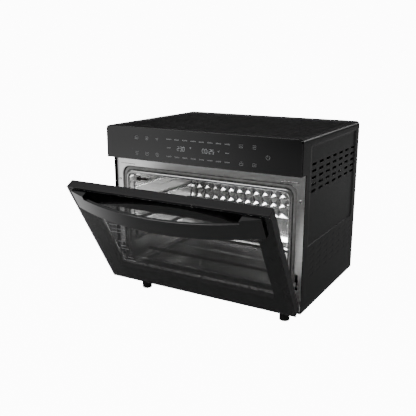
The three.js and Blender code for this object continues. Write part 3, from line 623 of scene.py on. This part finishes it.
def studded_wall():
    """The rear wall: a plate with rows of four-sided pyramids and softened edges."""
    face = CAVITY_BACK + 0.3
    bm = bmesh.new()
    x_low = -STUD * STUD_COLUMNS / 2
    xs = [-WALL_HALF, *[x_low + STUD * i for i in range(STUD_COLUMNS + 1)], WALL_HALF]
    zs = [WALL_LOW, WALL_STEP, *[STUD_LOW + STUD * i for i in range(STUD_ROWS + 1)], WALL_HIGH]
    corner = [[bm.verts.new((x, face, z)) for z in zs] for x in xs]
    for i in range(len(xs) - 1):
        for j in range(len(zs) - 1):
            quad = (corner[i][j], corner[i + 1][j], corner[i + 1][j + 1], corner[i][j + 1])
            if 1 <= i <= STUD_COLUMNS and 2 <= j <= STUD_ROWS + 1:
                apex = bm.verts.new(((xs[i] + xs[i + 1]) / 2, face - STUD_HEIGHT, (zs[j] + zs[j + 1]) / 2))
                for k in range(4):
                    bm.faces.new((quad[k], quad[(k + 1) % 4], apex))
            else:
                bm.faces.new(quad)
    edges = [e for e in bm.edges if len(e.link_faces) == 2 and e.calc_face_angle(0) > 0.2]
    bmesh.ops.bevel(bm, geom=edges, offset=0.15, segments=1, profile=0.5, affect="EDGES")
    mesh = bpy.data.meshes.new("studs")
    bm.to_mesh(mesh)
    bm.free()
    return mesh


rear_wall = add("studded_wall", [studded_wall()], "stud_steel", "cavity_back", crease=12)
thicken(rear_wall, 1, 1 if rear_wall.data.polygons[0].normal.y > 0 else -1)

RUNNERS, RUNNER_FRONT, RUNNER_BACK = (95, 138, 181, 224), 46, 314


def shelf_ladder(side):
    """The runners for a rack on one wall, each with a lip, two uprights and three screws."""
    wall = MOUTH_HALF - 0.3
    parts = []
    for z in RUNNERS:
        for far, low in ((wall - 0.6, z - 1.1), (wall - 7.4, z - 3.6)):
            x0, x1 = across(side, wall - 9, far)
            parts.append(block((x0, RUNNER_FRONT, low), (x1, RUNNER_BACK, z + 1.1), 0.7, 3))
    for y in (48, 302):
        x0, x1 = across(side, wall - 2, wall)
        parts.append(block((x0, y, RUNNERS[0] - 8), (x1, y + 9, RUNNERS[-1] + 6), 0.7))
    for y, z in ((52.5, RUNNERS[0] - 4), (52.5, RUNNERS[-1] + 2.5), (306.5, RUNNERS[0] - 4)):
        parts.append(screw_head((side * (wall - 1.8), y, z), "X", 2.4, -side))
    return parts


for name, side in SIDES:
    add(f"shelf_ladder_{name}", shelf_ladder(side), "bright_steel", f"shelf_guide_{name}")
add("wall_screws", [screw_head((side * (MOUTH_HALF - 0.2), y, z), "X", 2.6, -side)
                    for _, side in SIDES for y, z in ((60.5, 83), (143, 47.5), (291, 47.5))], "bright_steel")

for name, y in HEATERS:
    rod = lathe([(0, -219), (3.4, -219), (4, -218), (4, -196), (4, 0), (4, 196), (4, 218), (3.4, 219),
                 (0, 219)], (0, y, HEATER_Z), "X", 32)
    add(f"heater_tube_{name}", [rod], "heater_sheath", f"lower_heater_{name}")

TRAY_Z, TRAY_HALF, TRAY_BACK = MOUTH_LOW + 0.5, 188, 322
# (y, height over TRAY_Z): the curled front edge and the raised rib, first on top and then underneath
tray_profile = [(46, 12), (46.6, 13), (48.5, 13), (50.5, 11.5), (53, 7), (56, 3), (60, 1), (199, 1),
                (202, 3.4), (205, 4.2), (208, 3.4), (211, 1), (TRAY_BACK, 1), (TRAY_BACK, 0), (211, 0),
                (208, 2.2), (205, 3), (202, 2.2), (199, 0), (59, 0), (54.5, 2), (51.5, 6), (49, 10.4),
                (47.6, 11.6)]
tray = [plate([[(y, TRAY_Z + rise) for y, rise in tray_profile]], -TRAY_HALF, TRAY_HALF, SIDEWAYS, 0.3)]
for _, side in SIDES:
    x0, x1 = across(side, TRAY_HALF - SHEET, TRAY_HALF)
    tray.append(block((x0, 58, TRAY_Z), (x1, TRAY_BACK, TRAY_Z + 6), 0.4))
add("crumb_tray_sheet", tray, "bright_steel", "crumb_tray")

# ---- control panel -----------------------------------------------------------------------------------
add("touch_glass", [plate([hood(0.4, PANEL_LOW)], 0, 2.5, FACING, 0.6, 3)], "panel_gloss", "panel_glass")
add("panel_shell", [plate([hood(1.3, PANEL_LOW)], 2.8, 6.4, FACING, 0.3),
                    block((-238.6, 6, PANEL_LOW), (238.6, 30, PANEL_LOW + 3.6), 0.4)],
    "satin_black")

# ---- door, drawn closed ------------------------------------------------------------------------------


def on_door(name, meshes, look, replaces=(), **extra):
    return add(name, meshes, look, replaces, body="door", place=DOOR, **extra)


# hinge ears and arms pass through notches and slots in the door's lower corners
EAR_NEAR, EAR_FAR, NOTCH_TOP = 229.2, 233.8, 16.2
FRAME_SIDE, FRAME_LOW = 238.5, 5.5
PAN_SIDE, PAN_LOW = 234.2, 9.8
PANE_TOP = TRIM_LOW - 0.3


def arm_slots(low, high):
    """Outlines of the two slots that the hinge arms pass through in the door."""
    return [rounded((side * ARM_X - 2.6, side * ARM_X + 2.6), (low, high), 1, 3) for _, side in SIDES]


def both_halves(right):
    """Closes an outline whose left half mirrors the right one."""
    return right + [(-x, z) for x, z in reversed(right)]


window = rounded((-WINDOW_HALF, WINDOW_HALF), (WINDOW_LOW, WINDOW_HIGH), 4)
front_pane = rounded((-DOOR_HALF, DOOR_HALF), (DOOR_LOW, PANE_TOP), 1.2, 4)
on_door("door_front_pane", [plate([front_pane], 0, 3, FACING, 0.6, 3)], "clear_glass", "door_glass")

frame_loop = both_halves([(EAR_NEAR, FRAME_LOW), (EAR_NEAR, NOTCH_TOP), (EAR_FAR, NOTCH_TOP),
                          (EAR_FAR, FRAME_LOW), (FRAME_SIDE - 1.5, FRAME_LOW), (FRAME_SIDE, FRAME_LOW + 1.5),
                          (FRAME_SIDE, PANE_TOP)])
surround = [plate([frame_loop, window, *arm_slots(50, 88)], 3.3, FRAME_BACK, FACING, 0.8, 3),
            block((-EAR_NEAR, FRAME_BACK - 1, FRAME_LOW), (EAR_NEAR, DOOR_THICK - 0.4, 9.5), 0.8, 3)]
for _, side in SIDES:
    x0, x1 = across(side, 234.6, FRAME_SIDE)
    surround.append(block((x0, FRAME_BACK - 1, FRAME_LOW), (x1, DOOR_THICK - 0.4, PANE_TOP), 0.8, 3))
on_door("door_surround", surround, "satin_black", "door_frame")
cap = rounded((-DOOR_HALF, DOOR_HALF), (TRIM_LOW, DOOR_HIGH), 1.2, 4)
on_door("door_cap", [plate([cap], 0, DOOR_THICK, FACING, 0.9, 3)], "satin_black", "door_top_trim")

pan_loop = both_halves([(EAR_NEAR, PAN_LOW), (EAR_NEAR, NOTCH_TOP), (PAN_SIDE, NOTCH_TOP),
                        (PAN_SIDE, PANE_TOP - 0.3)])
pan = [plate([pan_loop, window, *arm_slots(46, 88)], FRAME_BACK + 0.3, DOOR_THICK, FACING, 1.2, 3)]
rim_out, rim_in = EDGE - 1, BEAD - 1
pan.append(sweep([(rim_out, DOOR_THICK - 0.5), (rim_out, SEAL_FACE - 1.6), (rim_out - 0.6, SEAL_FACE - 0.4),
                  (rim_out - 1.8, SEAL_FACE), (rim_in + 1.8, SEAL_FACE), (rim_in + 0.6, SEAL_FACE - 0.4),
                  (rim_in, SEAL_FACE - 1.6), (rim_in, DOOR_THICK - 0.5)]))
on_door("door_inner_pan", pan, "brushed_steel", "door_back_pan")
rear_pane = rounded((-205, 205), (39, 248), 3, 4)
on_door("door_rear_pane", [plate([rear_pane], DOOR_THICK + 0.3, DOOR_THICK + 3.3, FACING, 0.5)],
        "clear_pane", "door_inner_glass")

HANDLE_HALF, HANDLE_LUG, HANDLE_REACH, HANDLE_RADIUS, HANDLE_THICK = 224, 184, 41.5, 723, 7
HANDLE_LOW, LUG_LOW, HANDLE_HIGH, LUG_HIGH = 240, 268, 280, 288.6
LUG_FOOT = -0.3


def bow(radius, start, end, steps=32):
    """Points on a curve of the handle's plan, from x = start to x = end."""
    xs = [start + (end - start) * i / steps for i in range(steps + 1)]
    return [(x, HANDLE_RADIUS - HANDLE_REACH - math.sqrt(radius * radius - x * x)) for x in xs]


def handle_outline():
    """Plan of the bowed handle: (x, y), bar and both end lugs."""
    half, lug = HANDLE_HALF, HANDLE_LUG
    return [*bow(HANDLE_RADIUS, -half, half), (half, LUG_FOOT), (lug, LUG_FOOT),
            *bow(HANDLE_RADIUS - HANDLE_THICK, lug - 4, 4 - lug), (-lug, LUG_FOOT), (-half, LUG_FOOT)]


def lug_outline(side):
    """Plan of the plate that raises one end lug, under the bar's front curve."""
    half, lug = side * HANDLE_HALF, side * HANDLE_LUG
    return [(lug, LUG_FOOT), (half, LUG_FOOT), *bow(HANDLE_RADIUS, half, lug, 6)]


handle_parts = [plate([handle_outline()], HANDLE_LOW, HANDLE_HIGH, FLAT, 1.7, 4)]
handle_parts += [plate([lug_outline(side)], LUG_LOW, LUG_HIGH, FLAT, 1.0, 3) for _, side in SIDES]
on_door("handle_bar", handle_parts, "gloss_black", "handle")

# ---- hinge arms --------------------------------------------------------------------------------------
ARM_LONG, ARM_HALF = 104, 1.5
swing = DOOR @ Matrix.Translation(ARM_PIN) @ Matrix.Rotation(ARM_LEAN - ARM_RATIO * OPEN, 4, "X")
bar = [(0, -5), (ARM_LONG - 5, -5), (ARM_LONG - 1.5, -3.6), (ARM_LONG, -0.5), (ARM_LONG, 5), (0, 5),
       *arc(0, 0, 6, 120, 240, 8)]
for name, side in SIDES:
    arm = plate([bar, circle(0, 0, 2.8, 20)], side * ARM_X - ARM_HALF, side * ARM_X + ARM_HALF, SIDEWAYS, 0.4)
    add(f"arm_bar_{name}", [arm], "bright_steel", f"hinge_arm_{name}", body=f"arm_{name}", place=swing)

# ---- printed and lit marks ---------------------------------------------------------------------------
PRINT_Y, PRINT_FLATTEN = -0.02, 0.12


def print_on_panel(lines, width):
    """Strokes of (x, z) points, laid as flattened rods on a face that looks to -y."""
    thin = Matrix.Translation((0, PRINT_Y, 0)) @ Matrix.Diagonal((1, PRINT_FLATTEN, 1, 1))
    return [tube([(a, 0, b) for a, b in line], width / 2, 8, thin) for line in lines]


def loop(radius, start=0, end=360):
    """A round stroke of an icon, about its middle."""
    return arc(0, 0, radius, start, end, 16)


# small line drawings for the touch areas, about 2 across
DASH = [(-0.5, 0), (0.5, 0)]
BLADES = [[(0.4 * math.cos(t), 0.4 * math.sin(t)), (math.cos(t + 0.5), math.sin(t + 0.5))]
          for t in (0.3, 2.4, 4.5)]
ICONS = {
    "tray": [[(-1, 0.6), (-1, -0.8), (1, -0.8), (1, 0.6)], [(-0.6, 0.1), (0.6, 0.1)], [(-0.6, 1), (0.6, 1)]],
    "drum": [loop(1), DASH, [(0, -0.5), (0, 0.5)]],
    "fan": [loop(0.3), *BLADES],
    "bars": [[(-1, level), (1, level)] for level in (-0.8, 0, 0.8)],
    "box": [[(-1, -0.8), (1, -0.8), (1, 0.8), (-1, 0.8), (-1, -0.8)], DASH],
    "power": [loop(1, 125, 415), [(0, 0.2), (0, 1.15)]],
}


def icon(kind, a, b, size):
    """One drawing's strokes, moved to (a, b) and made 2 sizes across."""
    return [[(a + size * u, b + size * v) for u, v in stroke] for stroke in ICONS[kind]]


SEGMENTS = {"0": "abcdef", "2": "abged", "3": "abgcd", "5": "afgcd"}


def digits(text, a, b, high=8.6, wide=4.6, pitch=6.8):
    """Seven-segment figures, the first one's lower left corner at (a, b)."""
    lines = []
    for char in text:
        if char == ":":
            lines += [[(a, b + high * k), (a, b + high * k + 0.7)] for k in (0.28, 0.66)]
            a += 2.9
            continue
        w, h, m = wide, high, high / 2
        strokes = {"a": ((0, h), (w, h)), "b": ((w, m), (w, h)), "c": ((w, 0), (w, m)), "d": ((0, 0), (w, 0)),
                   "e": ((0, 0), (0, m)), "f": ((0, m), (0, h)), "g": ((0, m), (w, m))}
        lines += [[(a + p[0], b + p[1]), (a + q[0], b + q[1])]
                  for p, q in (strokes[s] for s in SEGMENTS[char])]
        a += pitch
    return lines


def word(a, b, wide, high=2.4):
    """A short word shown as a row of small upright strokes, with no letters."""
    count = max(2, round(wide / 2.3))
    xs = [a - wide / 2 + wide * (i + 0.5) / count for i in range(count)]
    return [[(x, b - high / 2), (x, b + high / 2)] for x in xs]


icons = []
for kind, x, z in (("tray", -154, 346.5), ("drum", -126, 346.5), ("fan", -98.5, 346.5), ("bars", -154, 312),
                   ("box", -126, 312), ("drum", -98.5, 312), ("box", 108, 347), ("bars", 138, 347),
                   ("tray", 109, 311), ("box", 138.5, 311)):
    icons += icon(kind, x, z, 3.9)
icons += icon("power", 168, 329, 4.2)
icons += icon("fan", 56.5, 332, 2.6)
add("touch_icons", print_on_panel(icons, 0.5), "legend")
names = []
for k in range(8):
    for z in (348.4, 311):
        names += word(-67.5 + 20.6 * k, z, 13)
names += word(-67.7, 330, 10) + word(76.5, 330, 10)
add("touch_names", print_on_panel(names, 0.8), "legend")
DIGITS_Z = 325.6
lit = digits("230", -46, DIGITS_Z) + digits("00:25", 17, DIGITS_Z)
lit.append(arc(-12.5, 334, 1.3, 0, 360, 16))
add("display_digits", print_on_panel(lit, 0.5), "legend_lit")

marks = []
for high, low, rows in ((199, 171, ((-166, -144, 196), (-164, -128.5, 183.5), (-166, -144, 172.5))),
                        (144.5, 118.5, ((-164, -143, 143), (-163, -148, 129), (-165, -145, 118.5))),
                        (92, 78, ((-160, -143.5, 89.5), (-166, -141, 79.5)))):
    for start, end, z in rows:
        marks += word((start + end) / 2, z, end - start, 2.6)
    marks.append([(-170, high), (-173.5, high), (-173.5, low), (-170, low)])
on_door("door_scale_marks", print_on_panel(marks, 1.0), "legend")

# ---- finishes for the CAD pieces that show as they are -------------------------------------------------
record_slots = {part["node"]: part["material_slot"] for part in frame["record"]["subparts"]}
for node, piece in frame["nodes"].items():
    look = "lamp_glass" if node == "lamp_lens" else record_slots[node]
    piece.data.materials.clear()
    piece.data.materials.append(LOOKS[look])

# ---- stage, lights and camera --------------------------------------------------------------------------
# the stage's brightness to the camera, to diffuse rays, and to the camera through the door's glass
WHITE, DIM, THROUGH = 12.0, 0.16, 0.02
FLOOR = 6.0


def feed(links, value, socket):
    """Sets a socket to a number, or links it to another node's output."""
    if isinstance(value, float):
        socket.default_value = value
    else:
        links.new(value, socket)


def ray_mix(nodes, links, shine):
    """A brightness that depends on the kind of ray, so that the stage can be pale and still light softly."""
    rays = nodes.new("ShaderNodeLightPath")

    def mix(factor, first, second):
        node = nodes.new("ShaderNodeMix")
        feed(links, first, node.inputs[2])
        feed(links, second, node.inputs[3])
        links.new(factor, node.inputs[0])
        return node.outputs[0]
    behind_glass = nodes.new("ShaderNodeMath")
    behind_glass.operation = "GREATER_THAN"
    behind_glass.inputs[1].default_value = 0.5
    links.new(rays.outputs["Transparent Depth"], behind_glass.inputs[0])
    shown = mix(behind_glass.outputs[0], WHITE, THROUGH)
    return mix(rays.outputs["Is Camera Ray"], mix(rays.outputs["Is Glossy Ray"], DIM, shine), shown)


def ramp(nodes, links, source, span, values):
    node = nodes.new("ShaderNodeMapRange")
    node.interpolation_type = "SMOOTHSTEP"
    for key, value in zip(("From Min", "From Max", "To Min", "To Max"), (*span, *values)):
        node.inputs[key].default_value = value
    links.new(source, node.inputs["Value"])
    return node.outputs["Result"]


def reflected_cards(nodes, links):
    """What the floor shows to reflections: bright cards that the dark, glossy faces pick up."""
    position = nodes.new("ShaderNodeNewGeometry")
    place = nodes.new("ShaderNodeSeparateXYZ")
    links.new(position.outputs["Position"], place.inputs[0])
    x, y = place.outputs["X"], place.outputs["Y"]

    def math_node(operation, first, second):
        node = nodes.new("ShaderNodeMath")
        node.operation = operation
        feed(links, first, node.inputs[0])
        feed(links, second, node.inputs[1])
        return node.outputs[0]

    # the card that the front reflects is brighter towards the left
    ahead = math_node("MAXIMUM", math_node("MULTIPLY", y, -1.0), 0.9)
    leftward = math_node("DIVIDE", math_node("MULTIPLY", x, -1.0), ahead)
    front = ramp(nodes, links, leftward, (0.22, 0.8), (0.09, 1.2))
    # softer cards straight out from the sides and the back
    away = math_node("MAXIMUM", math_node("ABSOLUTE", y, 0.0), 0.5)
    sideways = math_node("DIVIDE", math_node("ABSOLUTE", x, 0.0), away)
    sides = ramp(nodes, links, sideways, (1.1, 2.2), (0.0, 0.35))
    behind = ramp(nodes, links, y, (0.2, 0.6), (0.0, 0.35))
    straight = ramp(nodes, links, sideways, (0.1, 0.42), (1.0, 0.0))
    return math_node("ADD", math_node("ADD", front, sides), math_node("MULTIPLY", behind, straight))


def pale_floor():
    """A wide floor that looks white to the camera and is dim to the other rays."""
    mesh = bpy.data.meshes.new("floor")
    mesh.from_pydata([(-FLOOR, -FLOOR, 0), (FLOOR, -FLOOR, 0), (FLOOR, FLOOR, 0), (-FLOOR, FLOOR, 0)], [],
                     [(0, 1, 2, 3)])
    floor = bpy.data.objects.new("floor", mesh)
    bpy.context.scene.collection.objects.link(floor)
    pale = bpy.data.materials.new("pale_floor")
    pale.use_nodes = True
    nodes, links = pale.node_tree.nodes, pale.node_tree.links
    shader = nodes["Principled BSDF"]
    shader.inputs["Base Color"].default_value = (0.4, 0.4, 0.4, 1)
    shader.inputs["Roughness"].default_value = 0.9
    shader.inputs["Emission Color"].default_value = (1, 1, 1, 1)
    links.new(ray_mix(nodes, links, reflected_cards(nodes, links)), shader.inputs["Emission Strength"])
    mesh.materials.append(pale)
    return floor


def studio_sky():
    """A world that is white to the camera and a soft dome, brighter overhead, to reflections."""
    world = bpy.data.worlds.new("studio")
    bpy.context.scene.world = world
    world.use_nodes = True
    nodes, links = world.node_tree.nodes, world.node_tree.links
    sky = nodes["Background"]
    sky.inputs["Color"].default_value = (1, 1, 1, 1)
    toward = nodes.new("ShaderNodeTexCoord")
    height = nodes.new("ShaderNodeSeparateXYZ")
    links.new(toward.outputs["Generated"], height.inputs[0])
    dome = ramp(nodes, links, height.outputs["Z"], (0.27, 0.9), (0.012, 0.6))
    links.new(ray_mix(nodes, links, dome), sky.inputs["Strength"])


def softbox(name, at, aim, size, power):
    lamp = bpy.data.lights.new(name, "AREA")
    lamp.shape = "RECTANGLE"
    lamp.size, lamp.size_y = size
    lamp.energy = power
    holder = bpy.data.objects.new(name, lamp)
    holder.location = at
    holder.rotation_euler = (Vector(aim) - Vector(at)).to_track_quat("-Z", "Y").to_euler()
    holder.visible_camera = False
    bpy.context.scene.collection.objects.link(holder)


pale_floor()
studio_sky()
softbox("key", (-0.9, -1.6, 1.5), (0, 0, 0.2), (1.2, 0.8), 24)
softbox("rim", (1.3, 2.0, 1.0), (0, 0, 0.2), (1.2, 0.14), 7)
softbox("back", (-0.3, 2.2, 1.65), (0, 0, 0.35), (2.6, 0.12), 1.8)
softbox("right", (2.0, -0.6, 0.9), (0, 0, 0.2), (0.6, 1.0), 0.6)
softbox("oven_low", (0, 0.21, 0.0625), (0, 0.21, 1), (0.38, 0.04), 0.9)
softbox("oven_high", (0, -0.02, 0.276), (0, -0.12, 0.02), (0.36, 0.06), 0.35)

CAMERA_AT, YAW, PITCH = (0.6553, -1.1600, 0.5557), math.radians(30.49), math.radians(14.706)
camera = bpy.data.cameras.new("camera")
camera.lens = 51.54
camera.sensor_width = 36
view = bpy.data.objects.new("camera", camera)
bpy.context.scene.collection.objects.link(view)
view.location = CAMERA_AT
look_along = Vector((-math.sin(YAW) * math.cos(PITCH), math.cos(YAW) * math.cos(PITCH), -math.sin(PITCH)))
view.rotation_euler = look_along.to_track_quat("-Z", "Y").to_euler()
bpy.context.scene.camera = view
